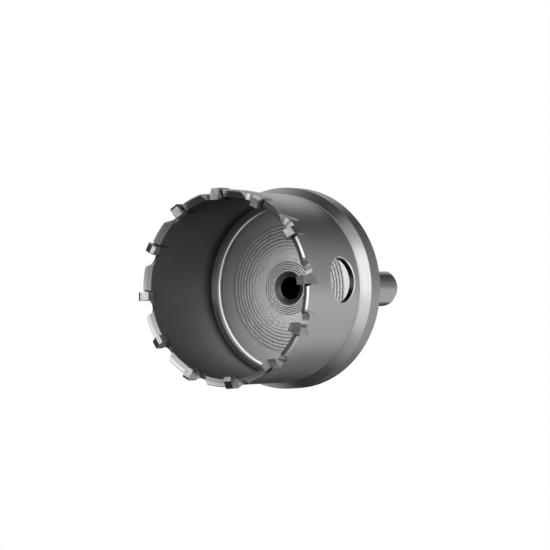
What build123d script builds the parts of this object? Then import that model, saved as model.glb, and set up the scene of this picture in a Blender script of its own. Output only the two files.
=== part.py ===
"""A carbide-tipped hole saw for sheet metal: a turned steel cup with a stop flange, a hub and a three-flat
shank in one piece, twelve carbide tips brazed into its rim, and the grub screw that grips a pilot drill.

The saw stands on its cutting edges. They lie at Z = 0, the axis is +Z, and the shank points up.
Azimuth 0 is +X, through the chip window and the middle of one tip. Seen from the shank, the saw cuts
clockwise, so each tip has its rake face on its side of smaller azimuth, with the gullet in front of it.
"""

from build123d import *

import os
from math import cos, radians, sin, tan

os.makedirs("parts", exist_ok=True)

# Cup, measured from the plane of the cutting edges. All sizes are in millimetres and degrees.
cutting_diameter = 51.0
cutting_depth = 27.5
wall_thickness = 1.6
corner_radius = 2.0

# Rim band, the thicker ring that carries the tips
band_height = 7.0
band_step = 0.4
rim_bevel = 0.4
rim_slope = 34.0

# Stop flange and floor
flange_diameter = 52.8
flange_cone_height = 3.15
flange_rim_height = 4.8
flange_chamfer = 0.3
floor_thickness = 2.7

# Hub with its grub screw
hub_diameter = 20.0
hub_length = 10.0
hub_fillet = 1.5
hub_chamfer = 0.6
grub_diameter = 6.0
grub_length = 6.0
grub_sink = 0.4
grub_clearance = 0.05
grub_socket = 3.0
grub_socket_depth = 2.5

# Three-flat shank
shank_diameter = 10.0
shank_length = 37.0
shank_rounding = 0.8
flat_depth = 0.34
flat_length = 30.0
flat_count = 3
flat_azimuth = 35.0

# Pilot drill bore
pilot_diameter = 6.0
pilot_depth = 26.0
pilot_countersink_diameter = 9.0
pilot_countersink_depth = 0.9
drill_point_angle = 118.0

# Chip window in the wall
window_diameter = 11.4
window_below_flange = 8.0
window_chamfer = 0.3

# Carbide tips
tooth_count = 12
tip_width = 3.0
tip_thickness = 2.2
tip_face_height = 3.9
tip_stand_out = 1.7
tip_side_stand_out = 0.4
tip_seat_angle = 45.0
tip_back_relief = 5.0
tip_inward_slope = 10.0
finisher_bevel = 0.7
finisher_bevel_depth = 0.4
rougher_bevel = 1.9
rougher_bevel_depth = 0.9

# Gullet in front of each tip, and the relief behind it
gullet_width = 4.5
gullet_depth = 4.1
gullet_back_depth = 2.7
gullet_slant = 15.0
gullet_lead = 0.4
gullet_ramp = 30.0
back_gap = 0.65
back_gap_depth = 1.7
flute_seat_cover = 1.1
seat_lead = 0.6

# How far a cut starts or ends beyond the surface that it goes through
cut_margin = 3.0

# Radii and heights that follow from the sizes above
band_radius = cutting_diameter / 2 - tip_side_stand_out
wall_radius = band_radius - band_step
inner_radius = wall_radius - wall_thickness
ridge_radius = band_radius - rim_bevel
flange_radius = flange_diameter / 2
hub_radius = hub_diameter / 2
shank_radius = shank_diameter / 2
pilot_radius = pilot_diameter / 2

inner_edge_height = tip_stand_out + (ridge_radius - inner_radius) * tan(radians(rim_slope))
band_end = tip_stand_out + band_height
cone_end = cutting_depth + flange_cone_height
flange_back = cone_end + flange_rim_height
floor_height = flange_back - floor_thickness
window_height = cutting_depth - window_below_flange
hub_end = flange_back + hub_length
shank_end = hub_end + shank_length
pilot_end = floor_height + pilot_depth
grub_height = (flange_back + hub_end) / 2

rake_face = -tip_thickness / 2
tip_back = tip_thickness / 2
seat_top = tip_face_height + tip_thickness * tan(radians(tip_seat_angle))
tip_outer = cutting_diameter / 2
tip_inner = tip_outer - tip_width
below_edges = -cut_margin
inside_wall = tip_inner - cut_margin
past_wall = tip_outer + cut_margin
tooth_angle = 360 / tooth_count


def facing_out(azimuth, distance=0.0):
    """The plane across the radius at an azimuth: its X is along the rim, its Y is up the axis."""
    outward = Vector(cos(radians(azimuth)), sin(radians(azimuth)), 0)
    along = Vector(-outward.Y, outward.X, 0)
    return Plane(origin=outward * distance, x_dir=along, z_dir=outward)


def along_rim(azimuth, offset):
    """The plane through the axis at an azimuth, moved along the rim: its X is outward, its Y is up."""
    outward = Vector(cos(radians(azimuth)), sin(radians(azimuth)), 0)
    along = Vector(-outward.Y, outward.X, 0)
    return Plane(origin=along * offset, x_dir=outward, z_dir=-along)


def gullet_edge(height):
    """How far along the rim the gullet's slanted far edge lies at a height on the rim band."""
    return rake_face - gullet_width + (height - tip_stand_out) * tan(radians(gullet_slant))


# The space in front of each tip: a scoop through the wall, its floor ramping up as it goes outward
with BuildPart() as gullet:
    ramp = tan(radians(gullet_ramp))
    slant = tan(radians(gullet_slant))
    # What the scoop still climbs and leads, from its start to the wall's inner and outer faces
    climb = (inner_radius - inside_wall) * ramp
    lead = (inner_radius - inside_wall) * gullet_lead
    edge_lead = (band_radius - inner_radius) * (gullet_lead + ramp * slant)
    reach = past_wall - inside_wall
    with BuildSketch(facing_out(0, inside_wall)):
        with BuildLine():
            side_height = gullet_back_depth - climb
            open_height = -reach * ramp
            far_side = gullet_edge(gullet_back_depth) + edge_lead + lead
            far_open = far_side + (open_height - side_height) * slant
            near_side = rake_face + (band_radius - inner_radius) * gullet_lead + lead
            deepest = ((far_side + near_side) / 2, gullet_depth - climb)
            ThreePointArc((near_side, side_height), deepest, (far_side, side_height))
            Polyline(
                (far_side, side_height),
                (far_open, open_height),
                (near_side, open_height),
                (near_side, side_height),
            )
        make_face()
    outward_climb = Vector(1, -gullet_lead, ramp)
    extrude(amount=reach * outward_climb.length, dir=outward_climb)
    # Nothing of the scoop lies behind the rake face
    with BuildSketch(facing_out(0)):
        with Locations((rake_face, 0)):
            Rectangle(cutting_diameter, cutting_diameter, align=(Align.MAX, Align.CENTER))
    extrude(amount=cutting_diameter, mode=Mode.INTERSECT)

# The seat of each tip, cut straight out through the wall, with the gap ground behind the tip
with BuildPart() as seat:
    with BuildSketch(facing_out(0, inside_wall)):
        with BuildLine():
            Polyline(
                (rake_face - seat_lead, below_edges),
                (rake_face - seat_lead, tip_face_height - seat_lead * tan(radians(tip_seat_angle))),
                (tip_back, seat_top),
                (tip_back, tip_stand_out + back_gap_depth),
                (tip_back + back_gap, tip_stand_out),
                (tip_back + back_gap, below_edges),
                close=True,
            )
        make_face()
    extrude(amount=past_wall - inside_wall)

# One turned piece: the cup, flange, hub and shank, with everything that is cut into it
with BuildPart() as saw_body:
    # The rim band comes first, so that the flutes cut it down to the wall's own surface
    with BuildSketch(Plane.XZ):
        with BuildLine():
            Polyline(
                (inner_radius, inner_edge_height),
                (ridge_radius, tip_stand_out),
                (band_radius, tip_stand_out + rim_bevel),
                (band_radius, band_end - band_step),
                (wall_radius, band_end),
                (inner_radius, band_end),
                close=True,
            )
        make_face()
    revolve(axis=Axis.Z)
    for tooth in range(tooth_count):
        with BuildSketch(facing_out(tooth * tooth_angle, inner_radius)):
            with BuildLine():
                cover = tip_face_height + flute_seat_cover
                Polyline(
                    (rake_face, below_edges),
                    (rake_face, cover),
                    (rake_face + band_end - cover, band_end),
                    (gullet_edge(band_end), band_end),
                    (gullet_edge(below_edges), below_edges),
                    close=True,
                )
            make_face()
        extrude(amount=past_wall - inner_radius, mode=Mode.SUBTRACT)

    # The wall, floor, flange, hub and shank, turned about the axis
    with BuildSketch(Plane.XZ) as section:
        with BuildLine():
            wall_edge = tip_stand_out + (ridge_radius - wall_radius) * tan(radians(rim_slope))
            Polyline(
                (inner_radius, inner_edge_height),
                (wall_radius, wall_edge),
                (wall_radius, cutting_depth),
                (flange_radius, cone_end),
                (flange_radius, flange_back - flange_chamfer),
                (flange_radius - flange_chamfer, flange_back),
                (hub_radius, flange_back),
                (hub_radius, hub_end - hub_chamfer),
                (hub_radius - hub_chamfer, hub_end),
                (shank_radius, hub_end),
                (shank_radius, shank_end),
                (0, shank_end),
                (0, floor_height),
                (inner_radius, floor_height),
                close=True,
            )
        make_face()
        for corner, rounding in (
            ((inner_radius, floor_height), corner_radius),
            ((hub_radius, flange_back), hub_fillet),
            ((shank_radius, shank_end), shank_rounding),
        ):
            fillet(section.vertices().sort_by_distance(corner)[0], rounding)
    revolve(axis=Axis.Z)

    with PolarLocations(0, tooth_count):
        add(seat.part, mode=Mode.SUBTRACT)
        add(gullet.part, mode=Mode.SUBTRACT)

    # Chip window, with its outer edge broken
    with BuildSketch(facing_out(0)):
        with Locations((0, window_height)):
            Circle(window_diameter / 2)
    extrude(amount=past_wall, mode=Mode.SUBTRACT)
    window_top = (wall_radius, 0, window_height + window_diameter / 2)
    window_edge = saw_body.edges().sort_by_distance(window_top)[0]
    chamfer(window_edge, window_chamfer)

    # Pilot bore, drilled from the cup's floor up into the shank
    with BuildSketch(Plane.XZ):
        with BuildLine():
            countersink_radius = pilot_countersink_diameter / 2
            point_length = pilot_radius / tan(radians(drill_point_angle / 2))
            Polyline(
                (0, floor_height),
                (countersink_radius, floor_height),
                (pilot_radius, floor_height + pilot_countersink_depth),
                (pilot_radius, pilot_end),
                (0, pilot_end + point_length),
                close=True,
            )
        make_face()
    revolve(axis=Axis.Z, mode=Mode.SUBTRACT)

    # Tapped hole for the grub screw, through one side of the hub
    with BuildSketch(facing_out(0)):
        with Locations((0, grub_height)):
            Circle(grub_diameter / 2)
    extrude(amount=hub_radius + cut_margin, mode=Mode.SUBTRACT)

    # Flats for the three jaws of a drill chuck
    flat_distance = shank_radius - flat_depth
    for flat in range(flat_count):
        with BuildSketch(facing_out(flat_azimuth + flat * 360 / flat_count, flat_distance)):
            with Locations((0, shank_end)):
                Rectangle(shank_diameter, 2 * flat_length)
        extrude(amount=shank_diameter, mode=Mode.SUBTRACT)

saw_body.part.label = "saw_body"
export_step(saw_body.part, "parts/saw_body.step")


def carbide_tip(number):
    """A tip on its seat. Every second tip is a rougher, with a wide bevel on its outer corner."""
    azimuth = number * tooth_angle
    rougher = number % 2 == 1
    bevel = rougher_bevel if rougher else finisher_bevel
    bevel_depth = rougher_bevel_depth if rougher else finisher_bevel_depth
    inner_corner = (tip_width - bevel) * tan(radians(tip_inward_slope))
    lean = radians(tip_back_relief)
    with BuildPart() as tip:
        # The face, swept back along the relief angle so that only its front edge cuts
        with BuildSketch(along_rim(azimuth, rake_face)):
            with BuildLine():
                Polyline(
                    (tip_inner, inner_corner),
                    (tip_outer - bevel, 0),
                    (tip_outer, bevel_depth),
                    (tip_outer, seat_top + cut_margin),
                    (tip_inner, seat_top + cut_margin),
                    close=True,
                )
            make_face()
        outward = Vector(cos(radians(azimuth)), sin(radians(azimuth)), 0)
        sweep_back = Vector(-outward.Y * cos(lean), outward.X * cos(lean), sin(lean))
        extrude(amount=tip_thickness / cos(lean), dir=sweep_back)
        # The slanted foot that sits in the seat
        with BuildSketch(facing_out(azimuth)):
            with BuildLine():
                Polyline(
                    (rake_face, below_edges),
                    (rake_face, tip_face_height),
                    (tip_back, seat_top),
                    (tip_back, below_edges),
                    close=True,
                )
            make_face()
        extrude(amount=past_wall, mode=Mode.INTERSECT)
    return tip.part


for number in range(tooth_count):
    tip = carbide_tip(number)
    tip.label = f"carbide_tip_{number + 1:02d}"
    export_step(tip, f"parts/{tip.label}.step")

# Grub screw, turned in until it lies just under the hub's surface
with BuildPart() as grub_screw:
    grub_radius = grub_diameter / 2 - grub_clearance
    with BuildSketch(facing_out(0, hub_radius - grub_sink - grub_length)):
        with Locations((0, grub_height)):
            Circle(grub_radius)
    extrude(amount=grub_length)
    with BuildSketch(facing_out(0, hub_radius - grub_sink - grub_socket_depth)):
        with Locations((0, grub_height)):
            RegularPolygon(grub_socket / 2, 6, major_radius=False)
    extrude(amount=grub_socket_depth, mode=Mode.SUBTRACT)

grub_screw.part.label = "pilot_grub_screw"
export_step(grub_screw.part, "parts/pilot_grub_screw.step")
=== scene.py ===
from math import cos, radians, sin

import bpy
from mathutils import Matrix, Vector

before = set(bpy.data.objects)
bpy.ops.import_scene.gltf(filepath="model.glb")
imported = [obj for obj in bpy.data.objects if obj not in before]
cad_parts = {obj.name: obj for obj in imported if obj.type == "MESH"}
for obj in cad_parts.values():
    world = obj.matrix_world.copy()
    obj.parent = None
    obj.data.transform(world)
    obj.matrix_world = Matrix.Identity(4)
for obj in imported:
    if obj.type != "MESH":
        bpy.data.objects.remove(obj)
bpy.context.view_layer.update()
MM = 0.001

# Camera: 33.3 degrees off the saw's axis, in front of the cutting edges, with the shank level to the right
FRAME_PX = 550
FOCAL_PX = 2648.65
SENSOR_MM = 36
DISTANCE = 0.671
OFF_AXIS = radians(33.3)
AZIMUTH = radians(5)
RIM_CENTRE = Vector((0, 0, 2.15 * MM))
RIM_CENTRE_PX = (224.74, 288.19)

towards = Vector((sin(OFF_AXIS) * cos(AZIMUTH), sin(OFF_AXIS) * sin(AZIMUTH), -cos(OFF_AXIS)))
right = Vector((cos(OFF_AXIS) * cos(AZIMUTH), cos(OFF_AXIS) * sin(AZIMUTH), sin(OFF_AXIS)))
up = towards.cross(right)


def studio(x, y, z):
    """A direction given as seen by the camera: x to the right, y up, z towards it."""
    return right * x + up * y + towards * z


def look(obj, place, target, upward):
    """Puts a camera at a place, looking at a target."""
    back = (place - target).normalized()
    side = upward.cross(back).normalized()
    turn = Matrix((side, back.cross(side), back)).transposed().to_4x4()
    obj.matrix_world = Matrix.Translation(place) @ turn


camera_data = bpy.data.cameras.new("camera")
camera_data.sensor_width = SENSOR_MM
camera_data.lens = SENSOR_MM * FOCAL_PX / FRAME_PX
camera_data.clip_start = 0.01
camera_data.clip_end = 20
camera = bpy.data.objects.new("camera", camera_data)
bpy.context.scene.collection.objects.link(camera)
bpy.context.scene.camera = camera
off_x = (FRAME_PX / 2 - RIM_CENTRE_PX[0]) / FOCAL_PX * DISTANCE
off_y = (RIM_CENTRE_PX[1] - FRAME_PX / 2) / FOCAL_PX * DISTANCE
look(camera, RIM_CENTRE + towards * DISTANCE, RIM_CENTRE + right * off_x + up * off_y, up)


class Nodes:
    """Short calls for building a node tree. Positions in it are in millimetres."""

    def __init__(self, tree):
        self.tree = tree

    def feed(self, socket, value):
        if isinstance(value, bpy.types.NodeSocket):
            self.tree.links.new(value, socket)
        else:
            socket.default_value = value

    def add(self, kind, inputs=(), **settings):
        node = self.tree.nodes.new(kind)
        for name, value in settings.items():
            setattr(node, name, value)
        for key, value in dict(inputs).items():
            self.feed(node.inputs[key], value)
        return node

    def math(self, operation, a, b=0.0, c=0.0):
        return self.add("ShaderNodeMath", {0: a, 1: b, 2: c}, operation=operation).outputs[0]

    def plus(self, first, *others):
        for value in others:
            first = self.math("ADD", first, value)
        return first

    def times(self, first, *others):
        for value in others:
            first = self.math("MULTIPLY", first, value)
        return first

    def minus(self, a, b):
        return self.math("SUBTRACT", a, b)

    def far(self, a, b):
        """The length of the vector (a, b)."""
        return self.math("SQRT", self.plus(self.times(a, a), self.times(b, b)))

    def rise(self, value, low, high, to_low=0.0, to_high=1.0):
        """Smoothly from to_low at low to to_high at high."""
        sockets = {"Value": value, "From Min": low, "From Max": high, "To Min": to_low, "To Max": to_high}
        return self.add("ShaderNodeMapRange", sockets, interpolation_type="SMOOTHSTEP").outputs[0]

    def within(self, value, low, high, soft):
        """1 between low and high, 0 outside, over a soft edge. None leaves that end open."""
        edges = []
        if low is not None:
            edges.append(self.rise(value, low - soft, low))
        if high is not None:
            edges.append(self.rise(value, high, high + soft, 1.0, 0.0))
        return self.times(*edges)

    def mix(self, factor, a, b):
        node = self.add("ShaderNodeMix", data_type="RGBA")
        self.feed(node.inputs[0], factor)
        self.feed(node.inputs[6], a)
        self.feed(node.inputs[7], b)
        return node.outputs[2]

    def noise(self, vector, scale, detail=2.0, rough=0.5):
        sockets = {"Vector": vector, "Scale": scale, "Detail": detail, "Roughness": rough}
        return self.add("ShaderNodeTexNoise", sockets).outputs["Fac"]

    def vector(self, x, y, z):
        return self.add("ShaderNodeCombineXYZ", {0: x, 1: y, 2: z}).outputs[0]

    def place(self):
        """The point of the object: the whole vector, its parts, and how far it is from the saw's axis."""
        metres = self.add("ShaderNodeTexCoord").outputs["Object"]
        whole = self.add("ShaderNodeVectorMath", {0: metres, "Scale": 1 / MM}, operation="SCALE").outputs[0]
        parts = self.add("ShaderNodeSeparateXYZ", {0: whole}).outputs
        return whole, parts, self.far(parts[0], parts[1])

    def bump(self, relief, distance, strength=1.0):
        """A normal for relief, which is 1 where the surface stands out by the distance in millimetres."""
        sockets = {"Strength": strength, "Distance": distance * MM, "Height": relief}
        return self.add("ShaderNodeBump", sockets).outputs[0]


def grey(value):
    return (value, value, value, 1)


def material(name):
    made = bpy.data.materials.new(name)
    made.use_nodes = True
    return made, Nodes(made.node_tree), made.node_tree.nodes["Principled BSDF"]


# Zones of the turned steel, by distance from the axis and by height above the cutting edges, in millimetres:
# from, to, and how wide the soft edge outside them is. None is an open end.
ZONES = {
    "floor": ((None, 22.0, 0.4), (31.6, 33.2, 0.1)),
    "torn_floor": ((None, 17.0, 0.5), (31.6, 33.2, 0.1)),
    "corner": ((20.9, 23.3, 0.1), (30.9, 32.7, 0.1)),
    "painted_highlight_ring": ((20.95, 21.8, 0.08), (32.35, 33.2, 0.08)),
    "inside": ((None, 23.15, 0.05), (None, 30.7, 0.3)),
    "countersink": ((None, 4.35, 0.1), (32.85, None, 0.05)),
    "bore": ((None, 3.02, 0.04), (33.8, None, 0.3)),
    "rim": ((23.3, None, 0.1), (None, 2.05, 0.1)),
    "worn_rim": ((25.15, None, 0.55), (None, 2.15, 0.1)),
    "undercut": ((24.1, None, 0.1), (27.4, 27.5, 0.14)),
    "cone": ((25.1, None, 0.1), (27.55, 30.9, 0.1)),
    "flange_edge": ((26.35, None, 0.05), (30.8, None, 0.1)),
    "shank": ((None, 5.2, 0.2), (45.5, None, 0.2)),
}
OUTER_PITCH, INNER_PITCH = 0.9, 0.6
WINDOW_HEIGHT = 19.5

# Turned steel: the cup, flange, hub and shank, all turned about one axis
steel, n, shader = material("turned_steel")
place, (x, y, height), radius = n.place()
zone = {}
for name, (radii, heights) in ZONES.items():
    zone[name] = n.times(n.within(radius, *radii), n.within(height, *heights))
# Turning marks run round the axis: they hardly change along the turn, and fast across it
turn = n.math("ARCTAN2", y, x)
lay = n.vector(radius, height, n.times(turn, 0.6))
fine = n.noise(lay, 7.0, 4.0, 0.6)
broad = n.noise(lay, 0.55, 2.0, 0.5)
# Torn grooves that the facing tool left in the floor: wider apart in the outer zone than round the bore
chatter = n.rise(n.noise(place, 5.2, 2.0, 0.6), 0.32, 0.56, 0.35, 1.0)
outer_ring = n.rise(n.math("PINGPONG", n.times(radius, 1 / OUTER_PITCH), 0.5), 0.26, 0.5)
inner_ring = n.rise(n.math("PINGPONG", n.times(radius, 1 / INNER_PITCH), 0.5), 0.22, 0.5)
outer_zone = n.times(n.rise(radius, 8.5, 14.0), n.rise(radius, 17.2, 17.5, 1.0, 0.0))
inner_zone = n.within(radius, 4.7, 6.9, 0.3)
outer_groove = n.times(outer_ring, outer_zone, chatter)
groove = n.times(zone["floor"], n.plus(outer_groove, n.times(inner_ring, inner_zone)))
torn = n.times(zone["torn_floor"], chatter)
relief = n.plus(n.times(groove, 0.09), n.times(fine, 0.003), n.times(torn, 0.035))
# The rim's outer edge is worn round, and the tool left an undercut where the wall meets the cone
lowered = n.plus(n.times(zone["worn_rim"], 0.2), n.times(zone["undercut"], 0.06))
n.feed(shader.inputs["Normal"], n.bump(n.minus(relief, lowered), 1.0))
# The chip window's bore is painted dark as painted shade, and its edge outside is painted bright as a
# painted highlight
window_off = n.far(y, n.minus(height, WINDOW_HEIGHT))
zone["window"] = n.times(n.rise(x, 20.0, 20.1), n.rise(window_off, 6.05, 6.1, 1.0, 0.0))
window = n.mix(n.rise(window_off, 5.72, 5.78), grey(0.07), grey(0.9))
# The cone and the floor are a brighter grey than the rest, and the flange's edge duller. The rim is painted
# brighter still, as a painted highlight.
# The cup's inside is a dark grey, painted darker towards the corner as painted shade.
facing_marks = n.mix(groove, grey(0.72), grey(0.46))
inside_grey_and_painted_shade = n.mix(n.rise(height, 25.5, 30.3), grey(0.22), grey(0.07))
LAYERS = (
    ("cone", grey(0.60)),
    ("flange_edge", grey(0.43)),
    ("floor", facing_marks),
    # painted highlight: the rim painted near white
    ("rim", grey(0.9)),
    # painted shade in the countersink
    ("countersink", grey(0.2)),
    # painted shade and painted highlight at the chip window
    ("window", window),
    # painted shade on the corner between the cup's wall and floor
    ("corner", grey(0.36)),
    # painted highlight: a bright ring where the corner meets the floor
    ("painted_highlight_ring", grey(0.85)),
    # dark grey inside the cup, with painted shade darkening it towards the corner
    ("inside", inside_grey_and_painted_shade),
    # painted shade deep in the pilot bore
    ("bore", grey(0.10)),
)
tone = n.plus(n.times(broad, 0.05), n.times(fine, 0.08))
colour = n.mix(tone, grey(0.56), grey(0.36))
for name, shade in LAYERS:
    colour = n.mix(zone[name], colour, shade)
n.feed(shader.inputs["Base Color"], colour)
smoother = n.plus(n.times(zone["shank"], 0.08), n.times(zone["painted_highlight_ring"], 0.2))
n.feed(shader.inputs["Roughness"], n.minus(n.rise(broad, 0.3, 0.7, 0.33, 0.35), smoother))
n.feed(shader.inputs["Anisotropic"], n.minus(0.6, n.times(zone["rim"], 0.45)))
n.feed(shader.inputs["Tangent"], n.add("ShaderNodeTangent", direction_type="RADIAL", axis="Z").outputs[0])
shader.inputs["Anisotropic Rotation"].default_value = 0.25
shader.inputs["Metallic"].default_value = 1.0

# Ground carbide: cloudy, with short grinding scratches.
# Inside the cup a tip's foot is painted dark, as painted shade.
carbide, n, shader = material("carbide")
place, (x, y, height), radius = n.place()
streaks = n.add("ShaderNodeMapping", {"Vector": place, "Scale": (0.3, 0.3, 6.0)}).outputs[0]
scratch = n.noise(streaks, 1.0, 3.0, 0.6)
cloud = n.noise(place, 0.9, 3.0, 0.6)
foot_painted_shade = n.times(n.rise(height, 2.3, 3.0), n.rise(radius, 22.9, 23.1, 1.0, 0.0))
ground = n.mix(n.rise(cloud, 0.35, 0.7), grey(0.50), grey(0.34))
n.feed(shader.inputs["Base Color"], n.mix(foot_painted_shade, ground, grey(0.2)))
n.feed(shader.inputs["Roughness"], n.rise(scratch, 0.2, 0.8, 0.30, 0.42))
n.feed(shader.inputs["Normal"], n.bump(scratch, 0.01, 0.5))
shader.inputs["Metallic"].default_value = 1.0

# Black oxide on the grub screw
oxide, n, shader = material("black_oxide_steel")
speck = n.noise(n.place()[0], 2.5, 4.0, 0.6)
n.feed(shader.inputs["Base Color"], n.mix(n.rise(speck, 0.45, 0.75), grey(0.045), grey(0.11)))
n.feed(shader.inputs["Roughness"], n.rise(speck, 0.3, 0.7, 0.42, 0.55))
n.feed(shader.inputs["Normal"], n.bump(speck, 0.02, 0.4))
shader.inputs["Metallic"].default_value = 0.6

for name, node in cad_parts.items():
    finish = steel if name == "saw_body" else oxide if name == "pilot_grub_screw" else carbide
    node.data.materials.clear()
    node.data.materials.append(finish)

# Plain pale floor under the cutting edges. It shows only from above, and light from below comes through it.
HALF = 1.5
floor_mesh = bpy.data.meshes.new("floor")
corners = [(-HALF, -HALF, 0), (HALF, -HALF, 0), (HALF, HALF, 0), (-HALF, HALF, 0)]
floor_mesh.from_pydata(corners, [], [(0, 1, 2, 3)])
floor = bpy.data.objects.new("floor", floor_mesh)
bpy.context.scene.collection.objects.link(floor)
pale, n, shader = material("pale_floor")
n.feed(shader.inputs["Base Color"], n.mix(n.noise(n.place()[0], 0.03), grey(0.80), grey(0.84)))
shader.inputs["Roughness"].default_value = 0.8
shader.inputs["Emission Color"].default_value = grey(1.0)
shader.inputs["Emission Strength"].default_value = 0.6
clear = n.add("ShaderNodeBsdfTransparent").outputs[0]
lit_through = n.add("ShaderNodeBsdfTranslucent", {"Color": grey(0.84)}).outputs[0]
sheet = n.add("ShaderNodeMixShader", {0: 0.5, 1: shader.outputs[0], 2: lit_through}).outputs[0]
below = n.add("ShaderNodeNewGeometry").outputs["Backfacing"]
sided = n.add("ShaderNodeMixShader", {0: below, 1: sheet, 2: clear}).outputs[0]
n.feed(pale.node_tree.nodes["Material Output"].inputs["Surface"], sided)
floor_mesh.materials.append(pale)
floor.visible_shadow = False
floor.visible_diffuse = False
floor.visible_glossy = False

# Light: broad soft boxes in a dim studio, each a direction as seen by the camera and a strength.
# A box is at full strength within the first angle of its direction, and has faded out at the second.
SOFTBOX_ANGLES = (6, 32)
SOFTBOXES = (
    ((0.77, 0.28, 0.57), 1.6),
    ((-0.79, 0.32, 0.52), 1.0),
    ((0.58, -0.37, 0.72), 0.95),
    ((-0.62, -0.11, 0.78), 0.7),
    ((-0.90, 0.18, 0.40), 0.5),
    ((-0.62, 0.66, 0.42), 0.35),
    ((-0.28, 0.26, 0.92), 0.8),
    ((0.75, 0.63, 0.18), 0.65),
    ((0.92, -0.20, 0.32), 0.65),
    ((-0.19, 0.71, 0.68), 0.6),
    ((0.37, -0.80, 0.48), 0.6),
    ((0.86, -0.40, -0.32), 0.6),
    ((-0.55, 0.79, 0.28), 0.3),
    ((0.99, 0.13, -0.08), 0.3),
    ((0.44, -0.69, -0.57), 0.25),
    ((0.55, 0.0, -0.84), 0.45),
    ((-0.05, 0.50, -0.86), 0.75),
    ((-0.45, -0.50, -0.74), 0.5),
)
BACKDROP_ANGLES = (7, 9)
bpy.context.scene.view_settings.view_transform = "Standard"
world = bpy.data.worlds.new("studio")
bpy.context.scene.world = world
world.use_nodes = True
n = Nodes(world.node_tree)
rays = n.add("ShaderNodeLightPath").outputs
heading = n.add("ShaderNodeTexCoord").outputs["Generated"]


def facing(direction, full, none):
    """1 within the angle full of a direction, falling to 0 at the angle none."""
    sockets = {0: heading, 1: studio(*direction).normalized()}
    aligned = n.add("ShaderNodeVectorMath", sockets, operation="DOT_PRODUCT").outputs["Value"]
    return n.rise(aligned, cos(radians(none)), cos(radians(full)))


boxes = [n.times(facing(direction, *SOFTBOX_ANGLES), strength) for direction, strength in SOFTBOXES]
soft = n.add("ShaderNodeBackground", {"Color": grey(1.0), "Strength": n.plus(*boxes)}).outputs[0]
white = n.add("ShaderNodeBackground", {"Color": grey(1.0), "Strength": 1.0}).outputs[0]
# The white backdrop: all that the camera sees, and what gloss and glass see of it behind the saw
mirrored = n.math("MAXIMUM", rays["Is Glossy Ray"], rays["Is Transmission Ray"])
behind = n.times(mirrored, facing((0, 0, -1), *BACKDROP_ANGLES))
seen = n.add("ShaderNodeMixShader", {0: n.math("MAXIMUM", rays["Is Camera Ray"], behind), 1: soft, 2: white})
n.feed(world.node_tree.nodes["World Output"].inputs["Surface"], seen.outputs[0])
